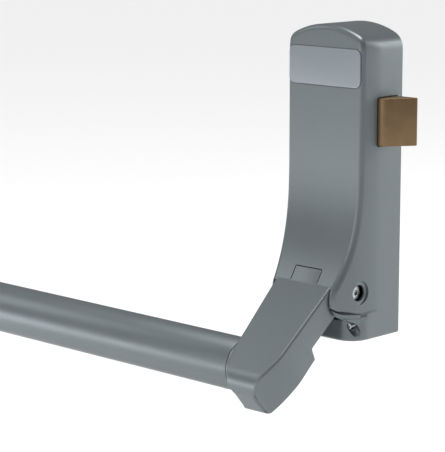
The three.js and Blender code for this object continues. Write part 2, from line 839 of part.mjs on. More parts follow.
// The name plate lies in a shallow recess of the latch cover's front.
function badgeSolid(grow, depth) {
  const outline = roundedRectangle(
    [-badgeHalfWidth - grow, badgeHalfWidth + grow],
    [badgeBottom - grow, badgeBottom + badgeHeight + grow],
    badgeCorner + grow,
  );
  return frontPrism(outline, caseDepth - badgeRecess, caseDepth - badgeRecess + depth);
}

// Everything that the two sides share, in the frame of one case.
function sharedPieces(prefix, top, side) {
  const group = new THREE.Group();
  const pocket = side < 0 ? springPocket : [-springPocket[1], -springPocket[0]];
  let cover = coverSolid(top);
  if (side < 0) {
    cover = cover.subtract(boltOpening()).subtract(badgeSolid(gap, farAway));
  }
  group.add(meshOf(prefix + "_cover", cover, "paint"));
  group.add(meshOf(prefix + "_backplate", backplateSolid(top), "zinc"));
  group.add(meshOf(prefix + "_bracket", bracketSolid(), "steel"));
  group.add(meshOf(prefix + "_pivot_pin", pivotPinSolid(), "steel"));
  const low = pocket[0] + gap;
  const high = pocket[1] - gap;
  const radius = pinRadius + returnSlack + returnWire / 2;
  const spring = coilSolid(pivotOut, 0, radius, returnWire, low, high, returnTurns, coilSteps);
  group.add(meshOf(prefix + "_return_spring", spring, "spring"));
  for (const end of [-1, 1]) {
    const label = end < 0 ? "left" : "right";
    const screw = meshOf(prefix + "_pivot_screw_" + label, pivotScrewSolid(), "zinc");
    if (end < 0) {
      screw.rotation.z = Math.PI;
      screw.position.y = -2 * pivotOut;
    }
    group.add(screw);
    const toe = meshOf(prefix + "_toe_screw_" + label, toeScrewSolid(end), "zinc");
    toe.position.copy(toeScrewPoint(end));
    group.add(toe);
    group.add(meshOf(prefix + "_lug_" + label, lugSolid(end), "steel"));
  }
  let arm = armSolid(side);
  if (side < 0) {
    arm = arm.add(leverSolid());
  }
  arm = arm.subtract(
    rodAlong(
      new THREE.Vector3(barScrewPlace(side), -barCentre[0], barCentre[1] - barDiameter),
      axisZ,
      barDiameter - barScrewTip + gap,
      barScrewRadius + gap,
    ),
  );
  group.add(meshOf(prefix + "_arm", arm, "paint"));
  group.add(
    meshOf(prefix + "_bush_left", bushSolid(-hubHalfWidth, pocket[0] - gap), "nylon"),
    meshOf(prefix + "_bush_right", bushSolid(pocket[1] + gap, hubHalfWidth), "nylon"),
  );
  const barScrew = meshOf(prefix + "_bar_screw", barScrewSolid(), "zinc");
  barScrew.position.set(barScrewPlace(side), -barCentre[0], barCentre[1]);
  group.add(barScrew);
  return group;
}

const exitBar = new THREE.Group();
const latchSide = sharedPieces("latch", latchCaseTop, -1);
const idleSide = sharedPieces("idle", idleCaseTop, 1);
idleSide.position.x = -caseSpacing;
const springEnds = [anchorX[1] + gap, boltBack - gap];
const boltSpring = coilSolid(
  springOut,
  boltSpringHeight,
  boltSpringRadius,
  boltSpringWire,
  springEnds[0],
  springEnds[1],
  boltSpringTurns,
  coilSteps,
);
latchSide.add(
  meshOf("name_badge", badgeSolid(0, badgeRecess + badgeProud), "badge"),
  meshOf("latch_bolt", boltSolid(), "bronze"),
  meshOf("bolt_guide", boltGuideSolid(), "steel"),
  meshOf("bolt_spring", boltSpring, "spring"),
  meshOf("spring_anchor", springAnchorSolid(), "steel"),
  meshOf("bell_crank", crankSolid(), "steel"),
  meshOf("crank_pin", crankPinSolid(), "steel"),
  meshOf("crank_clip", crankClipSolid(), "steel"),
  meshOf("lift_rod", rodSolid(), "zinc"),
  meshOf("rod_guide_lower", rodGuideSolid(lowerGuideBottom), "steel"),
  meshOf("rod_guide_upper", rodGuideSolid(upperGuideBottom), "steel"),
);
exitBar.add(latchSide, idleSide, meshOf("push_bar_tube", barSolid(), "paint"));

export default exitBar;
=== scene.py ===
import json
import math
import bpy
import bmesh
import numpy as np
from mathutils import Matrix, Vector


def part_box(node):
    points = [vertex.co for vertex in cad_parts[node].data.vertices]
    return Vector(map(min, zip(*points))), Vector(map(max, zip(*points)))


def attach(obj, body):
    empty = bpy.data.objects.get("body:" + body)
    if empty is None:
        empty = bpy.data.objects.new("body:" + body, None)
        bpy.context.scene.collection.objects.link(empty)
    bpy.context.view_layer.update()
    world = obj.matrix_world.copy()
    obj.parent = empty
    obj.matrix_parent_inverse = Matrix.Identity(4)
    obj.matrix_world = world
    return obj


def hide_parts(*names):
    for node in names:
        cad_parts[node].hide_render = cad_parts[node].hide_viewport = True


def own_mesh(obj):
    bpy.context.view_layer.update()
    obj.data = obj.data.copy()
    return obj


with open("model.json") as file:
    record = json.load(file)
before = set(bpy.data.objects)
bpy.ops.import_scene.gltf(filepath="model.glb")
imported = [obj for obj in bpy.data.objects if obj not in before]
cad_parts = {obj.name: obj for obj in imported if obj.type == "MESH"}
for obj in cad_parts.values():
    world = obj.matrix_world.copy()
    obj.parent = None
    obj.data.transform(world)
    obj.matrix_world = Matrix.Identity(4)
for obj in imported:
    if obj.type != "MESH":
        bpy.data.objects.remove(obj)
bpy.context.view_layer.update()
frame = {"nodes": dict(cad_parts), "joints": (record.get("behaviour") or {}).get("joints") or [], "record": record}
mm = 0.001

# The frame's own measures, in millimetres. "Out" is the distance from the door's face.
def nodeBox(name):
    low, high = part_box(name)
    return np.array(low) / mm, np.array(high) / mm


coverHigh = nodeBox("latch_cover")[1]
idleLow, idleHigh = nodeBox("idle_cover")
barLow, barHigh = nodeBox("push_bar_tube")
boltLow, boltHigh = nodeBox("latch_bolt")
joints = {j["name"]: j for j in frame["joints"]}
pivotOut = -joints["arm_swing"]["pos_m"][1] / mm
idleShift = (idleLow[0] + idleHigh[0]) / 2
print("frame loaded")


def addMesh(name, points, faces, smooth=True):
    # points are millimetres as X, Y, Z
    mesh = bpy.data.meshes.new(name)
    mesh.from_pydata((np.asarray(points, float) * mm).tolist(), [], faces)
    mesh.update()
    mesh.shade_smooth() if smooth else mesh.shade_flat()
    piece = bpy.data.objects.new(name, mesh)
    bpy.context.scene.collection.objects.link(piece)
    return piece


def gridFaces(rows, columns, closeRows=False, closeColumns=False, flip=False, start=0):
    # quads between neighbours of a rows by columns grid of points
    r = np.arange(rows if closeRows else rows - 1)
    c = np.arange(columns if closeColumns else columns - 1)
    r, c = np.meshgrid(r, c, indexing="ij")
    rNext, cNext = (r + 1) % rows, (c + 1) % columns
    corners = [r * columns + c, rNext * columns + c, rNext * columns + cNext, r * columns + cNext]
    quads = np.stack(corners, -1)
    quads = quads.reshape(-1, 4) + start
    return (quads[:, ::-1] if flip else quads).tolist()


def cleanUp(piece, distance=1e-6, recalculate=True):
    # merges doubled points, drops faces without area and points the rest outwards
    mesh = bmesh.new()
    mesh.from_mesh(piece.data)
    bmesh.ops.remove_doubles(mesh, verts=mesh.verts, dist=distance)
    bmesh.ops.dissolve_degenerate(mesh, edges=mesh.edges, dist=distance)
    if recalculate:
        bmesh.ops.recalc_face_normals(mesh, faces=mesh.faces)
    mesh.to_mesh(piece.data)
    mesh.free()
    return piece


def applyModifiers(piece):
    graph = bpy.context.evaluated_depsgraph_get()
    made = bpy.data.meshes.new_from_object(piece.evaluated_get(graph))
    old = piece.data
    piece.modifiers.clear()
    piece.data = made
    bpy.data.meshes.remove(old)
    return piece


def combine(piece, others, operation):
    # joins or cuts a closed piece with other closed pieces, which are used up
    for other in others:
        step = piece.modifiers.new("combine", "BOOLEAN")
        step.operation = operation
        step.solver = "MANIFOLD"
        step.object = other
        applyModifiers(piece)
        bpy.data.objects.remove(other)
    return piece


def sharpen(piece, degrees):
    # smooth shading that breaks at edges turned by more than an angle
    piece.data.shade_smooth()
    piece.data.set_sharp_from_angle(angle=math.radians(degrees))
    return piece


def arcPoints(centre, radius, start, end, steps):
    # a circle's points: centre + radius * (cos, sin) from one angle to another, in degrees
    angle = np.radians(np.linspace(start, end, steps + 1))
    return np.column_stack([centre[0] + radius * np.cos(angle), centre[1] + radius * np.sin(angle)])


def roundedOutline(low, high, radius, steps=8):
    # a rectangle with round corners
    (x0, z0), (x1, z1) = low, high
    return np.vstack([
        arcPoints((x1 - radius, z0 + radius), radius, -90, 0, steps),
        arcPoints((x1 - radius, z1 - radius), radius, 0, 90, steps),
        arcPoints((x0 + radius, z1 - radius), radius, 90, 180, steps),
        arcPoints((x0 + radius, z0 + radius), radius, 180, 270, steps),
    ])


# Each view puts a flat outline's two axes and its depth onto X, Y and Z.
views = {
    "side": lambda a, b, depth: np.column_stack([depth, -a, b]),   # (out, Z) carried along X
    "front": lambda a, b, depth: np.column_stack([a, -depth, b]),  # (X, Z) carried out
    "plan": lambda a, b, depth: np.column_stack([a, -b, depth]),   # (X, out) carried up
}


def addPrism(name, outline, low, high, view, edge=0.0, edgeSteps=3):
    # an outline carried from low to high: its rim rounds over by edge, a quarter circle in section
    outline = np.asarray(outline, float)
    step = np.roll(outline, -1, 0) - np.roll(outline, 1, 0)
    inward = np.column_stack([-step[:, 1], step[:, 0]])
    inward /= np.linalg.norm(inward, axis=1)[:, None] + 1e-12
    area = np.sum(outline[:, 0] * np.roll(outline[:, 1], -1) - outline[:, 1] * np.roll(outline[:, 0], -1))
    inward *= np.sign(area)
    turn = np.radians(np.linspace(0, 90, edgeSteps + 1)) if edge > 0 else np.array([0.0])
    inset, drop = edge * (1 - np.cos(turn)), edge * (1 - np.sin(turn))
    levels = np.concatenate([low + drop[::-1], high - drop])
    insets = np.concatenate([inset[::-1], inset])
    rings = [outline + inward * value for value in insets]
    rows = [views[view](r[:, 0], r[:, 1], np.full(len(r), level)) for r, level in zip(rings, levels)]
    points = np.vstack(rows)
    count = len(outline)
    faces = gridFaces(len(levels), count, closeColumns=True)
    faces.append(list(range(count)))
    faces.append(list(range(len(points) - count, len(points))))
    return cleanUp(addMesh(name, points, faces))


def addTurned(name, profile, centre, axis, steps=64):
    # a profile of (radius, height) turned about an axis through a centre
    profile = np.asarray(profile, float)
    angle = np.linspace(0, 2 * np.pi, steps, endpoint=False)
    radius = profile[:, 0][:, None]
    height = np.repeat(profile[:, 1][:, None], steps, 1)
    local = np.stack([radius * np.cos(angle), radius * np.sin(angle), height], -1)
    turn = Vector(axis).to_track_quat("Z", "X").to_matrix()
    points = local.reshape(-1, 3) @ np.array(turn).T + np.asarray(centre, float)
    faces = gridFaces(len(profile), steps, closeColumns=True)
    return cleanUp(addMesh(name, points, faces))


# The cover's form. Radii, angles and heights repeat the castings' own drawing.
cover = {
    "wall": 2.5,
    "crownRise": 13.0,
    "shoulderRadius": 9.0,
    "noseOut": 36.6,
    "noseHeight": -2.0,
    "noseRadius": 11.8,
    "noseTopAngle": 28.0,
    "noseLowAngle": -68.0,
    "flareTop": 70.0,
    "flatOut": 31.0,
    "taperStart": 27.0,
    "narrowing": 5.3,
    "toeFront": 36.9,
    "toeRadius": 12.0,
    "foot": -26.0,
    "frontRound": 3.0,
    "creaseRound": 2.5,
    "underRound": 1.1,
    "footRound": 1.4,
    "slotHalfWidth": 19.9,
    "slotFloor": -15.0,
    "windowHalfWidth": 9.5,
    "windowHeight": 8.5,
    "pivotHole": 4.4,
    "spotRadius": 6.4,
    "spotDepth": 1.5,
}


def roundMeet(a, b, radius):
    # where two surfaces meet: the larger distance, with the edge between them rounded to a radius
    past = np.hypot(np.maximum(a + radius, 0), np.maximum(b + radius, 0))
    return np.minimum(np.maximum(a, b), -radius) + past


def noseEnd(angle):
    # the nose's circle at an angle, as (out, Z)
    a, c = math.radians(angle), cover
    return c["noseOut"] + c["noseRadius"] * math.cos(a), c["noseHeight"] + c["noseRadius"] * math.sin(a)


def frontOut(z):
    # the front's distance out at a height: the flat front plus the flare's reach times a cubed share of
    # the way down, and below it the nose's circle
    c = cover
    flareOut, flareBottom = noseEnd(c["noseTopAngle"])
    lowOut, lowEdge = noseEnd(c["noseLowAngle"])
    share = np.clip((c["flareTop"] - z) / (c["flareTop"] - flareBottom), 0, None)
    level = np.clip(z, lowEdge, flareBottom) - c["noseHeight"]
    nose = c["noseOut"] + np.sqrt(c["noseRadius"] ** 2 - level**2)
    return np.where(z > flareBottom, c["flatOut"] + (flareOut - c["flatOut"]) * share**3, nose)


def frontSlope(z):
    # how far the front moves out for each millimetre down, kept below the nose's steepest useful value
    step = 0.01
    return np.clip(np.abs(frontOut(z + step) - frontOut(z - step)) / (2 * step), 0, 1.2)


def undersideAt(out):
    # the height of the nose's underside, on the line that touches the nose's low end
    lowOut, lowEdge = noseEnd(cover["noseLowAngle"])
    return lowEdge + (lowOut - out) / math.tan(math.radians(cover["noseLowAngle"]))


def coverDistance(x, out, z, top):
    # signed distance from the case's surface, negative inside: the arched front outline, the sides that
    # draw in toward the nose, the flared front with its round nose and sloping underside, joined to the toe,
    # whose plan has round corners
    c = cover
    half = coverHigh[0]
    x = np.abs(x)
    radius = c["shoulderRadius"]
    shoulder, side = top - c["crownRise"], half - radius
    rise = c["crownRise"] - radius
    drop = (side * side - rise * rise) / (2 * rise)
    crown = drop + c["crownRise"]
    corner = np.hypot(x - side, np.maximum(z - shoulder, 0)) - radius
    crownEdge = np.hypot(x, z - shoulder + drop) - crown
    beyond = (z - shoulder) * side > drop * (x - side)
    outline = np.where(z < shoulder, x - half, np.where(beyond | (x < side), crownEdge, corner))
    lean = c["narrowing"] / (c["noseOut"] + c["noseRadius"] - c["taperStart"])
    taper = (x - half + lean * (out - c["taperStart"])) / math.hypot(1, lean)
    sides = roundMeet(outline, taper, c["creaseRound"])
    front = (out - frontOut(z)) / np.hypot(1, frontSlope(z))
    body = roundMeet(sides, front, c["frontRound"])
    under = (undersideAt(out) - z) * math.sin(-math.radians(c["noseLowAngle"]))
    body = roundMeet(body, under, c["underRound"])
    body = roundMeet(body, c["foot"] - z, c["footRound"])
    qx = x - (half - c["toeRadius"])
    qOut = out - (c["toeFront"] - c["toeRadius"])
    outside = np.hypot(np.maximum(qx, 0), np.maximum(qOut, 0))
    toe = outside + np.minimum(np.maximum(qx, qOut), 0) - c["toeRadius"]
    toe = roundMeet(toe, c["foot"] - z, c["footRound"])
    toe = np.maximum(toe, z + c["noseRadius"])
    return np.minimum(body, toe)


def spread(profiles, count, turnShare):
    # redistributes each row's points by length and by how sharply the row turns
    step = np.diff(profiles, axis=1)
    length = np.linalg.norm(step, axis=2)
    unit = step / (length[..., None] + 1e-12)
    bend = np.arccos(np.clip(np.sum(unit[:, 1:] * unit[:, :-1], -1), -1, 1))
    weight = length / length.sum(1, keepdims=True)
    weight[:, 1:] += turnShare * bend / 2
    weight[:, :-1] += turnShare * bend / 2
    travelled = np.concatenate([np.zeros((len(weight), 1)), np.cumsum(weight, 1)], 1)
    spots = np.linspace(0, 1, count)
    rows = []
    for row, along in zip(profiles, travelled):
        along = along / along[-1]
        rows.append(np.column_stack([np.interp(spots, along, row[:, k]) for k in range(3)]))
    return np.array(rows)


def coverSurface(caseTop, inset, count):
    # points where rays from a spine on the door's face meet the level "inset" inside the case: along the
    # straight sides the rays leave at right angles, and at each end they fan out
    spineLow, spineHigh = 8.0, caseTop - cover["crownRise"]
    rise = np.concatenate([
        np.linspace(spineLow, min(44, spineHigh), 26, endpoint=False),
        np.linspace(min(44, spineHigh), spineHigh, 16 if caseTop > 100 else 6, endpoint=False),
    ])
    upperFan = np.linspace(0, 180, 56, endpoint=False)
    lowerFan = np.linspace(180, 360, 132, endpoint=False)
    fall = np.concatenate([[spineHigh], rise[:0:-1]])
    top, foot = np.full(len(upperFan), spineHigh), np.full(len(lowerFan), spineLow)
    start = np.concatenate([rise, top, fall, foot])
    angle = np.concatenate([np.zeros(len(rise)), upperFan, np.full(len(rise), 180.0), lowerFan])
    turn = np.radians(angle)[:, None]
    tilt = np.radians(90 * np.linspace(0, 1, 500))[None, :]
    dx = np.cos(tilt) * np.cos(turn)
    dz = np.cos(tilt) * np.sin(turn)
    dOut = np.broadcast_to(np.sin(tilt), dx.shape)
    near, far = np.zeros(dx.shape), np.full(dx.shape, 120.0)
    for _ in range(34):
        middle = (near + far) / 2
        outside = coverDistance(middle * dx, middle * dOut, start[:, None] + middle * dz, caseTop) > -inset
        far = np.where(outside, middle, far)
        near = np.where(outside, near, middle)
    points = np.stack([near * dx, near * dOut, start[:, None] + near * dz], -1)
    return spread(points, count, 0.25)


def addCoverShell(name, top):
    # an outer and an inner surface of the same form, joined by a rim on the door's face
    outer = coverSurface(top, 0.0, 130)
    inner = coverSurface(top, cover["wall"], 60)
    rows = len(outer)
    points = np.vstack([outer.reshape(-1, 3), inner.reshape(-1, 3)]) * np.array([1, -1, 1])
    start = rows * outer.shape[1]
    faces = gridFaces(rows, outer.shape[1], closeRows=True)
    faces += gridFaces(rows, inner.shape[1], closeRows=True, flip=True, start=start)
    ring = np.arange(rows)
    nextRing = (ring + 1) % rows
    across, within = outer.shape[1], inner.shape[1]
    rim = [ring * across, nextRing * across, start + nextRing * within, start + ring * within]
    faces += np.stack(rim, -1).tolist()
    return cleanUp(addMesh(name, points, faces), 2e-6)


armRoot = (47.5, 3.5)


def coverCutters(withBolt):
    # the arm's slot with its window, the pivot's and the toe screws' holes, the bolt's opening and the
    # badge's bed
    c = cover
    lip = armRoot[1]
    clear = c["toeFront"] + 0.3
    slot = [(pivotOut, lip), (pivotOut + 40, lip), (pivotOut + 40, c["foot"]), (clear, c["foot"]),
            (clear, c["slotFloor"]), (pivotOut, c["slotFloor"])]
    w, high = c["windowHalfWidth"], lip + c["windowHeight"]
    window = np.vstack([
        [(w, lip - 1)],
        arcPoints((w - 1, high - 1), 1, 0, 90, 5),
        arcPoints((1 - w, high - 1), 1, 90, 180, 5),
        [(-w, lip - 1)],
    ])
    spotCircle = arcPoints((pivotOut, 0), c["spotRadius"], 0, 360, 96)[:-1]
    cutters = [
        addPrism("slotCutter", slot, -c["slotHalfWidth"], c["slotHalfWidth"], "side"),
        addPrism("windowCutter", window, pivotOut + 2, 80, "front"),
        addPrism("pivotCutter", arcPoints((pivotOut, 0), c["pivotHole"], 0, 360, 64)[:-1], -40, 40, "side"),
    ]
    for side in (-1, 1):
        spot = sorted([side * (coverHigh[0] - c["spotDepth"]), side * 40])
        cutters.append(addPrism("spotCutter", spotCircle, spot[0], spot[1], "side"))
        cutters.append(addScrewCutter(side))
    if withBolt:
        b = 0.5
        low = (-boltHigh[1] - b, boltLow[2] - b)
        opening = roundedOutline(low, (-boltLow[1] + b, boltHigh[2] + b), 1.2, 6)
        cutters.append(addPrism("boltCutter", opening, 10, 60, "side"))
        cutters.append(addPrism("badgeBed", badgeOutline(0.3), c["flatOut"] - badge["bed"], 60, "front"))
    return cutters


toeScrew = {"turn": 40.0, "height": -19.8, "slant": 41.0, "head": 2.3, "shank": 1.5, "sink": 1.6,
            "headLength": 2.4, "length": 9.0}


def toeScrewFrame(side):
    # where a toe screw's axis meets the toe's round corner, and the way it points
    c, t = cover, toeScrew
    turn, slant = math.radians(t["turn"]), math.radians(t["slant"])
    x = coverHigh[0] - c["toeRadius"] + c["toeRadius"] * math.cos(turn)
    out = c["toeFront"] - c["toeRadius"] + c["toeRadius"] * math.sin(turn)
    return np.array([side * x, -out, t["height"]]), np.array([side * math.cos(slant), 0, -math.sin(slant)])


def addScrewCutter(side):
    place, slant = toeScrewFrame(side)
    t = toeScrew
    head, shank = t["head"] + 0.3, t["shank"] + 0.3
    neck = -t["sink"] - t["headLength"] - 0.3
    tip = -t["length"] - 1
    profile = [(0, tip), (shank, tip), (shank, neck), (head, neck), (head, 12), (0, 12)]
    return addTurned("screwCutter", profile, place, slant, 48)


badge = {
    "halfWidth": 24.5,
    "bottom": 107.0,
    "height": 20.0,
    "corner": 3.5,
    "bed": 0.6,
    "proud": 0.3,
    "edge": 0.28,
}


def badgeOutline(grow):
    b = badge
    low = (-b["halfWidth"] - grow, b["bottom"] - grow)
    high = (b["halfWidth"] + grow, b["bottom"] + b["height"] + grow)
    return roundedOutline(low, high, b["corner"] + grow, 10)


def addBadge():
    b = badge
    back = cover["flatOut"] - b["bed"]
    return addPrism("namePlate", badgeOutline(0), back, back + b["bed"] + b["proud"], "front", b["edge"], 4)


arm = {
    "angle": -41.8,
    "rootHalfWidth": 19.3,
    "taper": 0.06,
    "narrowStart": 44.0,
    "narrowRate": 0.0516,
    "narrowPower": 1.5,
    "length": 67.48,
    "endRoll": 10.0,
    "heelRoll": 2.0,
    "endCorner": 2.2,
    "neck": 15.3,
    "head": 23.6,
    "stepAt": 29.0,
    "stepLength": 2.6,
    "frontRound": 1.5,
    "backRound": 1.0,
    "hubRadius": 12.0,
    "hubHalfWidth": 18.6,
    "boreRadius": 6.2,
    "pocket": (-12.0, 1.4),
    "landStep": 1.2,
    "spigot": 26.0,
    "tongueThickness": 2.4,
}
barRadius = (barHigh[2] - barLow[2]) / 2
barOut = -(barLow[1] + barHigh[1]) / 2
barHeight = (barLow[2] + barHigh[2]) / 2


def armToSide(length, height):
    # from along the arm and off its front face to (out, Z)
    a = math.radians(arm["angle"])
    out = armRoot[0] + math.cos(a) * length - math.sin(a) * height
    return out, armRoot[1] + math.sin(a) * length + math.cos(a) * height


def armHalfWidth(length):
    # a straight taper, then sides that draw in by a power of the length past the narrowing's start
    a = arm
    narrow = np.maximum(0, length - a["narrowStart"]) ** a["narrowPower"]
    return a["rootHalfWidth"] - a["taper"] * length - a["narrowRate"] * narrow


def armSection(start):
    # the side view's outline as (length, height) points: the front face, the roll over the end, the heel,
    # the head's back, the step up to the neck and the neck's back, about a millimetre apart
    a = arm
    roll, heel = a["endRoll"], a["heelRoll"]
    length = a["length"]
    face = np.column_stack([np.linspace(start, length - roll, 56, endpoint=False), np.zeros(56)])
    end = arcPoints((length - roll, -roll), roll, 90, 0, 22)
    tip = np.column_stack([np.full(10, length), np.linspace(-roll, heel - a["head"], 12)[1:-1]])
    under = arcPoints((length - heel, heel - a["head"]), heel, 0, -90, 7)
    back = np.linspace(length - heel, start, 90)[1:]
    step = np.clip((back - a["stepAt"]) / a["stepLength"] + 0.5, 0, 1)
    slack = 2.0 * np.clip((length - 8 - back) / (length - 8 - a["stepAt"]), 0, 1) * (step > 0)
    depth = a["neck"] + (a["head"] - slack - a["neck"]) * step * step * (3 - 2 * step)
    return np.vstack([face, end, tip, under, np.column_stack([back, -depth])])


def sideFaces(length):
    # triangles that close the section from its front run to its back run, level by level along the arm
    front, back = 0, len(length) - 1
    faces = []
    while back - front > 1:
        advanceFront = length[front + 1] < length[back - 1]
        faces.append([front, front + 1, back] if advanceFront else [front, back - 1, back])
        front, back = (front + 1, back) if advanceFront else (front, back - 1)
    return faces


def addArmBody(name):
    # the section carried across the arm from side to side: its width follows the length, its ends round over
    # into the sides, more at the front than at the back, and the end's two corners are rounded in plan
    a = arm
    section = armSection(-3.0)
    tangent = np.roll(section, -1, 0) - np.roll(section, 1, 0)
    inward = np.column_stack([tangent[:, 1], -tangent[:, 0]])
    inward /= np.linalg.norm(inward, axis=1)[:, None]
    inward *= -math.copysign(1, inward[28, 1])
    nearBack = np.clip((-section[:, 1] - a["endRoll"]) / 6, 0, 1)
    edge = a["frontRound"] + (a["backRound"] - a["frontRound"]) * nearBack
    half = armHalfWidth(section[:, 0])
    corner = a["endCorner"]
    past = np.clip(section[:, 0] - (a["length"] - corner), 0, corner)
    half = half - (corner - np.sqrt(np.maximum(corner**2 - past**2, 0)))
    turn = np.radians(np.linspace(0, 90, 8))
    rim = []
    for q in turn:
        outline = section + inward * (edge * (1 - math.sin(q)))[:, None]
        rim.append((outline, half - edge * (1 - math.cos(q))))
    levels = [(outline, -x) for outline, x in rim]
    levels += [(section, (half - edge) * share) for share in np.linspace(-1, 1, 17)[1:-1]]
    levels += rim[::-1]
    points = []
    for outline, x in levels:
        out, z = armToSide(outline[:, 0], outline[:, 1])
        points.append(np.column_stack([x, -out, z]))
    count = len(section)
    faces = gridFaces(len(levels), count, closeColumns=True)
    side = sideFaces(rim[0][0][:, 0])
    last = (len(levels) - 1) * count
    faces += side
    faces += [[k + last for k in face] for face in side]
    return cleanUp(addMesh(name, np.vstack(points), faces), 2e-6)


def addTongue():
    # flush with the cover's flare above the arm's root, a little short of the window's edge
    a = arm
    half = cover["windowHalfWidth"] - 0.45
    top = armRoot[1] + cover["windowHeight"] - 0.45
    height = np.linspace(armRoot[1], top, 12)
    outline = np.vstack([
        [armToSide(0.6, 0)],
        np.column_stack([frontOut(height) + 0.05, height]),
        [(float(frontOut(top)) - a["tongueThickness"], top - 0.6)],
        [(armRoot[0] - a["tongueThickness"] - 0.8, armRoot[1] - 2)],
        [armToSide(2, -3)],
    ])
    return addPrism("tongue", outline, -half, half, "side", 0.25)


def addArm(name, side):
    a = arm
    body = addArmBody(name)
    circle = lambda radius, steps=96: arcPoints((barOut, barHeight), radius, 0, 360, steps)[:-1]
    hub = arcPoints((pivotOut, 0), a["hubRadius"], 0, 360, 96)[:-1]
    web = [armToSide(0.5, -2.5), (pivotOut + 3, a["hubRadius"] - 1.2), (pivotOut, 1.5 - a["hubRadius"]),
           armToSide(6, 0.4 - a["neck"]), armToSide(9, -a["neck"] / 2)]
    land = armHalfWidth(46.8) + a["landStep"]
    ends = (-land, 0) if side < 0 else (0, land)
    spigot = (-land - a["spigot"], 0) if side < 0 else (0, land + a["spigot"])
    combine(body, [
        addPrism("hub", hub, -a["hubHalfWidth"], a["hubHalfWidth"], "side", 0.6),
        addPrism("web", web, 0.3 - a["hubHalfWidth"], a["hubHalfWidth"] - 0.3, "side"),
        addTongue(),
        addPrism("land", circle(barRadius), ends[0], ends[1], "side", 0.35),
        addPrism("spigot", circle(barRadius - 1.8), spigot[0], spigot[1], "side", 0.5),
    ], "UNION")
    low, high = a["pocket"] if side < 0 else (-a["pocket"][1], -a["pocket"][0])
    pocket = arcPoints((pivotOut, 0), a["hubRadius"] + 0.5, 0, 360, 96)[:-1]
    bore = arcPoints((pivotOut, 0), a["boreRadius"], 0, 360, 64)[:-1]
    if side < 0:
        combine(body, [addLever()], "UNION")
    combine(body, [
        addPrism("pocket", pocket, low, high, "side"),
        addPrism("bore", bore, -40, 40, "side"),
        addBarScrewHole(side),
    ], "DIFFERENCE")
    return sharpen(body, 32)


lever = {"length": 21.0, "radius": 3.2, "x": (3.4, 9.4), "rest": 9.0}


def addLever():
    # a straight bar from the hub to its round tip, half the swing below the horizontal at rest
    v = lever
    a = math.radians(v["rest"])
    along = np.array([-math.cos(a), -math.sin(a)])
    across = np.array([-along[1], along[0]])
    hub = np.array([pivotOut, 0.0])
    tip = hub + along * v["length"]
    turn = np.linspace(0, math.pi, 17)[:, None]
    tipArc = tip + v["radius"] * (along * np.sin(turn) + across * np.cos(turn))
    outline = np.vstack([[hub + across * 3.8], tipArc, [hub - across * 3.8]])
    return addPrism("lever", outline, v["x"][0], v["x"][1], "side", 0.5)


barScrew = {"along": 30.6, "radius": 2.0}


def addBarScrewHole(side):
    b = barScrew
    profile = [(0, -barRadius - 8), (b["radius"] + 0.3, -barRadius - 8), (b["radius"] + 0.3, -6), (0, -6)]
    return addTurned("barScrewHole", profile, (side * b["along"], -barOut, barHeight), (0, 0, 1), 32)


def shift(piece, x):
    piece.data.transform(Matrix.Translation((x * mm, 0, 0)))
    return piece


def settle(piece, body, nodes, material):
    piece.data.materials.clear()
    piece.data.materials.append(material)
    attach(piece, body)
    if nodes:
        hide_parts(*nodes)
    return piece


def hexToLinear(code):
    values = [int(code[i:i + 2], 16) / 255 for i in (1, 3, 5)]
    return [v / 12.92 if v <= 0.04045 else ((v + 0.055) / 1.055) ** 2.4 for v in values] + [1.0]


def addNode(tree, kind, settings=None, links=None, into=None):
    # one node with its settings, links from other nodes' outputs into its inputs, and from its own outputs
    node = tree.nodes.new(kind)
    settings = settings or {}
    if "data_type" in settings:
        node.data_type = settings["data_type"]
    for key, value in settings.items():
        if isinstance(key, int) or key in node.inputs:
            node.inputs[key].default_value = value
        else:
            setattr(node, key, value)
    for key, source in (links or {}).items():
        tree.links.new(source, node.inputs[key])
    for key, target in (into or {}).items():
        tree.links.new(node.outputs[key], target)
    return node


def newMaterial(name, base, metallic, roughness, **sockets):
    material = bpy.data.materials.new(name)
    material.use_nodes = True
    tree = material.node_tree
    tree.nodes.clear()
    shader = addNode(tree, "ShaderNodeBsdfPrincipled", {
        "Base Color": hexToLinear(base), "Metallic": metallic, "Roughness": roughness, **sockets})
    addNode(tree, "ShaderNodeOutputMaterial", links={"Surface": shader.outputs[0]})
    coords = addNode(tree, "ShaderNodeTexCoord")
    return material, tree, shader, coords.outputs["Object"]


def paintMaterial():
    # silver polyester powder coat on zinc castings: fine metallic flake under a satin film, with a faint
    # orange peel about 1.5 mm across
    material, tree, shader, place = newMaterial("silverPowderCoat", "#7d8386", 0.5, 0.42)
    flake = addNode(tree, "ShaderNodeTexNoise", {"Scale": 2600.0, "Detail": 2.0}, {"Vector": place})
    cloud = addNode(tree, "ShaderNodeTexNoise", {"Scale": 35.0, "Detail": 3.0}, {"Vector": place})
    tone = addNode(tree, "ShaderNodeMath", {"operation": "MULTIPLY_ADD", 1: 0.7, 2: 0.15},
                   {0: flake.outputs["Fac"]})
    addNode(tree, "ShaderNodeMix", {"data_type": "RGBA", 6: hexToLinear("#6b7376"),
                                    7: hexToLinear("#7a8285")},
            {0: tone.outputs[0]}, {2: shader.inputs["Base Color"]})
    addNode(tree, "ShaderNodeMapRange", {"To Min": 0.34, "To Max": 0.44}, {"Value": cloud.outputs["Fac"]},
            {0: shader.inputs["Roughness"]})
    peel = addNode(tree, "ShaderNodeTexNoise", {"Scale": 650.0, "Detail": 1.0}, {"Vector": place})
    addNode(tree, "ShaderNodeBump", {"Strength": 0.05, "Distance": 0.0002}, {"Height": peel.outputs["Fac"]},
            {0: shader.inputs["Normal"]})
    return material


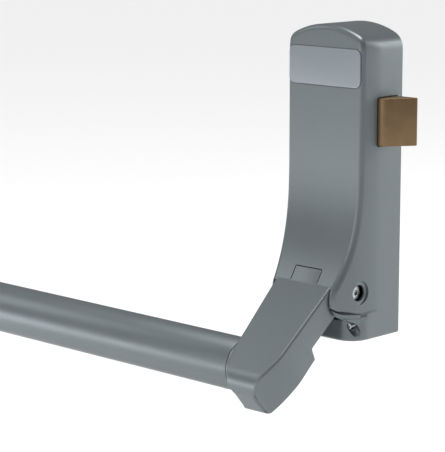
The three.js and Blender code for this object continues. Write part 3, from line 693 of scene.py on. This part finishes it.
def bronzeMaterial():
    # sand-cast aluminium bronze, ground and left to dull: brown, with fine draw lines along the slide
    material, tree, shader, place = newMaterial("dullCastBronze", "#846d52", 0.8, 0.44)
    stretch = addNode(tree, "ShaderNodeMapping", {"Scale": (60.0, 900.0, 900.0)}, {"Vector": place})
    lines = addNode(tree, "ShaderNodeTexNoise", {"Scale": 1.0, "Detail": 3.0},
                    {"Vector": stretch.outputs[0]})
    stain = addNode(tree, "ShaderNodeTexNoise", {"Scale": 160.0, "Detail": 4.0}, {"Vector": place})
    addNode(tree, "ShaderNodeMix", {"data_type": "RGBA", 6: hexToLinear("#786249"),
                                    7: hexToLinear("#8d7457")},
            {0: stain.outputs["Fac"]}, {2: shader.inputs["Base Color"]})
    addNode(tree, "ShaderNodeMapRange", {"To Min": 0.36, "To Max": 0.52}, {"Value": lines.outputs["Fac"]},
            {0: shader.inputs["Roughness"]})
    addNode(tree, "ShaderNodeBump", {"Strength": 0.1, "Distance": 0.0001}, {"Height": lines.outputs["Fac"]},
            {0: shader.inputs["Normal"]})
    return material


def platedMaterial(name, low, high, roughness):
    # rolled or turned steel, mottled by its plating's spangle or its oil about 2 mm across
    material, tree, shader, place = newMaterial(name, low, 1.0, roughness)
    spangle = addNode(tree, "ShaderNodeTexNoise", {"Scale": 420.0, "Detail": 4.0}, {"Vector": place})
    addNode(tree, "ShaderNodeMix", {"data_type": "RGBA", 6: hexToLinear(low),
                                    7: hexToLinear(high)},
            {0: spangle.outputs["Fac"]}, {2: shader.inputs["Base Color"]})
    addNode(tree, "ShaderNodeMapRange", {"To Min": roughness - 0.06, "To Max": roughness + 0.1},
            {"Value": spangle.outputs["Fac"]}, {0: shader.inputs["Roughness"]})
    addNode(tree, "ShaderNodeBump", {"Strength": 0.06, "Distance": 0.0001},
            {"Height": spangle.outputs["Fac"]}, {0: shader.inputs["Normal"]})
    return material


def badgeMaterial():
    # satin anodised aluminium sheet, brushed along its length with lines about 0.1 mm apart
    material, tree, shader, place = newMaterial("anodisedSheet", "#8f979d", 0.3, 0.45)
    stretch = addNode(tree, "ShaderNodeMapping", {"Scale": (60.0, 9000.0, 9000.0)}, {"Vector": place})
    lines = addNode(tree, "ShaderNodeTexNoise", {"Scale": 1.0, "Detail": 2.0},
                    {"Vector": stretch.outputs[0]})
    addNode(tree, "ShaderNodeMix", {"data_type": "RGBA", 6: hexToLinear("#8b9399"),
                                    7: hexToLinear("#939ba1")},
            {0: lines.outputs["Fac"]}, {2: shader.inputs["Base Color"]})
    addNode(tree, "ShaderNodeMapRange", {"To Min": 0.42, "To Max": 0.48}, {"Value": lines.outputs["Fac"]},
            {0: shader.inputs["Roughness"]})
    return material


def nylonMaterial():
    # moulded natural nylon: milky and faintly waxy, with haze about 3 mm across
    material, tree, shader, place = newMaterial("naturalNylon", "#e4e1d6", 0.0, 0.45)
    haze = addNode(tree, "ShaderNodeTexNoise", {"Scale": 300.0, "Detail": 2.0}, {"Vector": place})
    addNode(tree, "ShaderNodeMix", {"data_type": "RGBA", 6: hexToLinear("#dcd8cb"),
                                    7: hexToLinear("#ebe8df")},
            {0: haze.outputs["Fac"]}, {2: shader.inputs["Base Color"]})
    addNode(tree, "ShaderNodeMapRange", {"To Min": 0.4, "To Max": 0.52}, {"Value": haze.outputs["Fac"]},
            {0: shader.inputs["Roughness"]})
    return material


paint = paintMaterial()
bronze = bronzeMaterial()
zinc = platedMaterial("brightZincPlate", "#a9aeb2", "#c3c7ca", 0.3)
steel = platedMaterial("oiledColdRolledSteel", "#6f7478", "#8b9094", 0.38)
springWire = platedMaterial("patentedSpringWire", "#4d5053", "#66696c", 0.34)
anodised = badgeMaterial()
nylon = nylonMaterial()
slotMaterials = {"paint": paint, "bronze": bronze, "zinc": zinc, "screw_zinc": zinc, "steel": steel,
                 "spring_steel": springWire, "badge": anodised, "nylon": nylon}
for part in frame["record"]["subparts"]:
    node = frame["nodes"][part["node"]]
    node.data.materials.clear()
    node.data.materials.append(slotMaterials[part["material_slot"]])
print("materials made")

for prefix, top, x, side in (("latch", coverHigh[2], 0.0, -1), ("idle", idleHigh[2], idleShift, 1)):
    shell = addCoverShell(prefix + "CoverShell", top)
    combine(shell, coverCutters(side < 0), "DIFFERENCE")
    settle(shift(sharpen(shell, 35), x), "cases", [prefix + "_cover"], paint)
    skin = addArm(prefix + "ArmCasting", side)
    settle(shift(skin, x), "push_bar", [prefix + "_arm"], paint)
    print(prefix + " cover and arm made")

settle(addBadge(), "cases", ["name_badge"], anodised)

tube = {"edge": 0.4, "wall": 1.5}


def addBar():
    # a turned profile: outside with rounded ends, and the bore
    x0, x1 = barLow[0], barHigh[0]
    r, e, w = barRadius, tube["edge"], tube["wall"]
    profile = [(r - w, x0), (r - e, x0), (r - 0.12, x0 + 0.12), (r, x0 + e), (r, (x0 + x1) / 2), (r, x1 - e),
               (r - 0.12, x1 - 0.12), (r - e, x1), (r - w, x1), (r - w, x0)]
    piece = addTurned("pushBarTube", profile, (0, -barOut, barHeight), (1, 0, 0), 128)
    holes = []
    for place in (-barScrew["along"], idleShift + barScrew["along"]):
        width = barScrew["radius"] + 0.3
        drill = [(0, -barRadius - 8), (width, -barRadius - 8), (width, -6), (0, -6)]
        holes.append(addTurned("barHole", drill, (place, -barOut, barHeight), (0, 0, 1), 32))
    return sharpen(combine(piece, holes, "DIFFERENCE"), 32)


settle(addBar(), "push_bar", ["push_bar_tube"], paint)

bolt = {
    "back": 14.0,
    "nose": 33.4,
    "noseRadius": 6.0,
    "tipFlat": 1.6,
    "tail": -9.5,
    "tailOut": 9.2,
    "tailLow": 8.0,
    "tailHigh": 3.2,
    "edge": 0.5,
    "pin": 2.0,
    "pinEnd": 14.0,
    "pinRise": 19.5,
    "pinLean": 18.5,
}


def addBolt():
    # a plan outline with a round nose and a flat bevel, carried up the bolt's height, joined by a thin tail
    # and the drive pin
    b = bolt
    back, front = -boltHigh[1], -boltLow[1]
    tip = boltHigh[0]
    r = b["noseRadius"]
    plan = np.vstack([
        [(b["back"], back), (tip - 0.5, back), (tip, back + 0.5), (tip, back + b["tipFlat"] - 0.4)],
        [(tip - 0.25, back + b["tipFlat"] + 0.1)],
        arcPoints((b["nose"] - r, front - r), r, 30, 90, 14),
        [(b["back"], front)],
    ])
    body = addPrism("latchBoltCasting", plan, boltLow[2], boltHigh[2], "plan", b["edge"], 4)
    middle = (boltLow[2] + boltHigh[2]) / 2
    tailLow, tailHigh = middle - b["tailLow"], middle + b["tailHigh"]
    join = b["back"] + 2
    tail = [(b["tail"], tailLow), (join, tailLow), (join, tailHigh), (b["tail"], tailHigh)]
    pinX = joints["crank_turn"]["pos_m"][0] / mm + b["pinRise"] * math.tan(math.radians(b["pinLean"]))
    pin = arcPoints((pinX, middle), b["pin"], 0, 360, 40)[:-1]
    combine(body, [
        addPrism("tail", tail, back, b["tailOut"], "front", 0.3),
        addPrism("pin", pin, b["tailOut"] - 1, b["pinEnd"], "front", 0.3),
    ], "UNION")
    return sharpen(body, 32)


settle(addBolt(), "latch_bolt", ["latch_bolt"], bronze)

boltSpring = {"wire": 0.45, "turns": 8, "sides": 12, "steps": 28}


def addBoltSpring():
    # round wire wound on a helix about X: radius * (cos, sin) of the turn, with an even pitch
    s = boltSpring
    low, high = nodeBox("bolt_spring")
    out, height = -(low[1] + high[1]) / 2, (low[2] + high[2]) / 2
    radius = (high[2] - low[2]) / 2 - s["wire"]
    angle = np.linspace(0, 2 * np.pi * s["turns"], s["turns"] * s["steps"] + 1)[:, None]
    around = np.linspace(0, 2 * np.pi, s["sides"], endpoint=False)[None, :]
    start, end = low[0] + s["wire"], high[0] - s["wire"]
    reach = radius + s["wire"] * np.cos(around)
    x = start + (end - start) * angle / angle[-1] + s["wire"] * np.sin(around)
    points = np.stack([x, -out - reach * np.cos(angle), height + reach * np.sin(angle)], -1).reshape(-1, 3)
    faces = gridFaces(len(angle), s["sides"], closeColumns=True)
    faces.append(list(range(s["sides"])))
    faces.append(list(range(len(points) - s["sides"], len(points))))
    return cleanUp(addMesh("boltSpringWire", points, faces))


coil = settle(addBoltSpring(), "cases", ["bolt_spring"], springWire)
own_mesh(coil)

screws = {"pivotHead": 4.1, "pivotThick": 1.6, "dome": 0.7, "hex": 1.7, "socketDepth": 1.0}


def hexOutline(radius, centre=(0, 0)):
    return arcPoints(centre, radius, 0, 360, 6)[:-1]


def addPivotScrew(name, x, side):
    # a domed button head with a hexagon socket, on the pivot's axis
    s = screws
    r, t = s["pivotHead"], s["pivotThick"]
    rim = arcPoints((r - s["dome"], t - s["dome"]), s["dome"], 0, 90, 6)
    profile = np.vstack([[(0, 0), (r, 0)], rim, [(0, t)]])
    head = addTurned(name, profile, (x, -pivotOut, 0), (side, 0, 0), 64)
    depth = sorted([x + side * (t - s["socketDepth"]), x + side * (t + 2)])
    socket = addPrism("socket", hexOutline(s["hex"], (pivotOut, 0)), depth[0], depth[1], "side")
    return sharpen(combine(head, [socket], "DIFFERENCE"), 30)


def addToeScrew(name, side):
    # a cylinder head with a hexagon socket and a chamfered rim, and its shank
    t = toeScrew
    place, slant = toeScrewFrame(side)
    top, neck = -t["sink"], -t["sink"] - t["headLength"]
    shank, head, tip = t["shank"], t["head"], -t["length"]
    profile = [(0, tip), (shank - 0.3, tip), (shank, tip + 0.4), (shank, neck), (head, neck),
               (head, top - 0.3), (head - 0.3, top), (0, top)]
    screw = addTurned(name, profile, place, slant, 64)
    turn = Vector(slant).to_track_quat("Z", "X").to_matrix().to_4x4()
    socket = addPrism("recess", hexOutline(1.25), top - 1.2, top + 2, "plan")
    socket.data.transform(Matrix.Translation(Vector(place * mm)) @ turn)
    return sharpen(combine(screw, [socket], "DIFFERENCE"), 30)


for prefix, x in (("latch", 0.0), ("idle", idleShift)):
    for side, label in ((-1, "left"), (1, "right")):
        low, high = nodeBox(prefix + "_pivot_screw_" + label)
        base = (low[0] if side > 0 else high[0]) - x
        piece = addPivotScrew(prefix + "PivotScrew" + label.title(), base, side)
        settle(shift(piece, x), "cases", [prefix + "_pivot_screw_" + label], zinc)
        piece = addToeScrew(prefix + "ToeScrew" + label.title(), side)
        settle(shift(piece, x), "cases", [prefix + "_toe_screw_" + label], zinc)
print("bar, bolt and screws made")

scene = bpy.context.scene
view = {"lens": 155.3, "place": (0.6700, -0.7936, 0.2167), "azimuth": 44.3, "elevation": 10.3}
a, e = math.radians(view["azimuth"]), math.radians(view["elevation"])
toCamera = Vector((math.sin(a) * math.cos(e), -math.cos(a) * math.cos(e), math.sin(e)))
cameraData = bpy.data.cameras.new("camera")
cameraData.lens = view["lens"]
cameraData.sensor_width = 36
cameraData.clip_end = 50
camera = bpy.data.objects.new("camera", cameraData)
camera.location = view["place"]
camera.rotation_euler = toCamera.to_track_quat("Z", "Y").to_euler()
scene.collection.objects.link(camera)
scene.camera = camera

floorMesh = bpy.data.meshes.new("floor")
floorMesh.from_pydata([(-6, -6, -0.16), (6, -6, -0.16), (6, 6, -0.16), (-6, 6, -0.16)], [], [(0, 1, 2, 3)])
floor = bpy.data.objects.new("floor", floorMesh)
scene.collection.objects.link(floor)
floorPaint = newMaterial("paleFloor", "#f4f4f4", 0.0, 0.8)[0]
floorMesh.materials.append(floorPaint)

world = bpy.data.worlds.new("world")
world.use_nodes = True
world.node_tree.nodes["Background"].inputs["Color"].default_value = (1, 1, 1, 1)
world.node_tree.nodes["Background"].inputs["Strength"].default_value = 0.18
scene.world = world


def addLight(name, place, target, size, power):
    data = bpy.data.lights.new(name, "AREA")
    data.shape = "RECTANGLE"
    data.size, data.size_y = size
    data.energy = power
    lamp = bpy.data.objects.new(name, data)
    lamp.location = place
    lamp.visible_camera = False
    lamp.rotation_euler = (Vector(place) - Vector(target)).to_track_quat("Z", "Y").to_euler()
    scene.collection.objects.link(lamp)


addLight("key", (-1.5, -0.9, 1.2), (0, 0, 0.03), (0.9, 0.9), 5)
addLight("front", (-0.1, -1.8, 0.5), (0, 0, 0.03), (0.8, 0.8), 4.5)
addLight("low", (-0.35, -0.4, -0.15), (-0.1, -0.08, 0.0), (0.7, 0.2), 1.2)
addLight("side", (0.55, 1.3, 0.4), (0, 0, 0.03), (0.4, 0.7), 11)
# a soft light straight down, for the tops and the floor
sun = bpy.data.lights.new("overhead", "SUN")
sun.energy = 2.6
sun.angle = math.radians(30)
overhead = bpy.data.objects.new("overhead", sun)
scene.collection.objects.link(overhead)

scene.view_settings.view_transform = "Standard"
print("scene ready")
